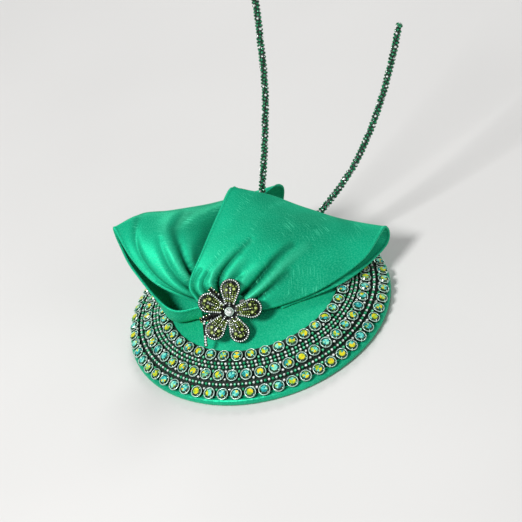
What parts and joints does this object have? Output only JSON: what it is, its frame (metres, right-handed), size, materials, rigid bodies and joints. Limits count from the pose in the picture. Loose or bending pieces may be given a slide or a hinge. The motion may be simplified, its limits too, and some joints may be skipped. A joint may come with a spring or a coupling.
{
  "type": "saucer cocktail hat",
  "caption": "Shallow domed disc hat on a comb, covered in satin, with a crystal band, a folded satin bow, a flower brooch on a pin and catch, and beaded wire quills.",
  "frame": {"origin": "centre of the flat plane that the bound rim rests on", "axes": "+Z out of the crown along the disc's axis; -Y towards the side that shows the brooch; +X towards the two quills' lean"},
  "size_m": [0.2613, 0.2, 0.2661],
  "materials": {
    "buckram": "stiffened open-weave cloth",
    "cover_satin": "fine felted satin, soft sheen",
    "lining_cloth": "matt woven lining",
    "wire_steel": "drawn steel wire",
    "binding_satin": "satin bias binding",
    "band_net": "black mesh backing",
    "cup_metal": "silver-plated stamped cups",
    "ab_crystal": "faceted glass with an iridescent coat",
    "emerald_stone": "faceted emerald glass",
    "clear_stone": "faceted clear glass",
    "bow_satin": "slubbed silk satin",
    "quill_banding": "rhinestone banding on black tape",
    "felt": "wool felt",
    "gunmetal": "dark plated casting, worn on the edges",
    "peridot_stone": "faceted peridot glass",
    "pin_steel": "plated steel",
    "comb_metal": "black lacquered metal"
  },
  "bodies": {
    "hat": {"base_shell": "buckram", "top_cover": "cover_satin", "lining": "lining_cloth", "edge_wire": "wire_steel", "edge_binding": "binding_satin", "band_mesh": "band_net", "cups_inner": "cup_metal", "cups_middle": "cup_metal", "cups_outer": "cup_metal", "crystals_inner": "ab_crystal", "crystals_middle": "ab_crystal", "crystals_outer": "ab_crystal", "small_stones_emerald": "emerald_stone", "small_stones_clear": "clear_stone", "bow_left_loop": "bow_satin", "bow_right_loop": "bow_satin", "brooch_tab": "bow_satin", "quill_left_wire": "wire_steel", "quill_left_banding": "quill_banding", "quill_left_tip": "emerald_stone", "quill_right_wire": "wire_steel", "quill_right_banding": "quill_banding", "quill_right_tip": "emerald_stone", "quill_anchor": "felt", "brooch_casting": "gunmetal", "brooch_petals": "gunmetal", "brooch_petal_rims": "clear_stone", "brooch_petal_stones": "peridot_stone", "brooch_centre_stone": "clear_stone", "brooch_twig_stones": "clear_stone", "pin_hinge_bracket": "gunmetal", "pin_hinge_rivet": "pin_steel", "catch_housing": "gunmetal", "hair_comb": "comb_metal", "comb_stitches": "lining_cloth"},
    "pin": {"pin_stem": "pin_steel"},
    "catch": {"catch_rotor": "pin_steel"}
  },
  "joints": [
    {"name": "brooch_pin_swing", "type": "hinge", "parent": "hat", "child": "pin", "pos_m": [-0.01, -0.03472, 0.04129], "axis": [0, -0.6691, -0.7431], "range_deg": [0, 30]},
    {"name": "catch_turn", "type": "hinge", "parent": "hat", "child": "catch", "pos_m": [-0.032, -0.03472, 0.04129], "axis": [1, 0, 0], "range_deg": [0, 150]}
  ]
}
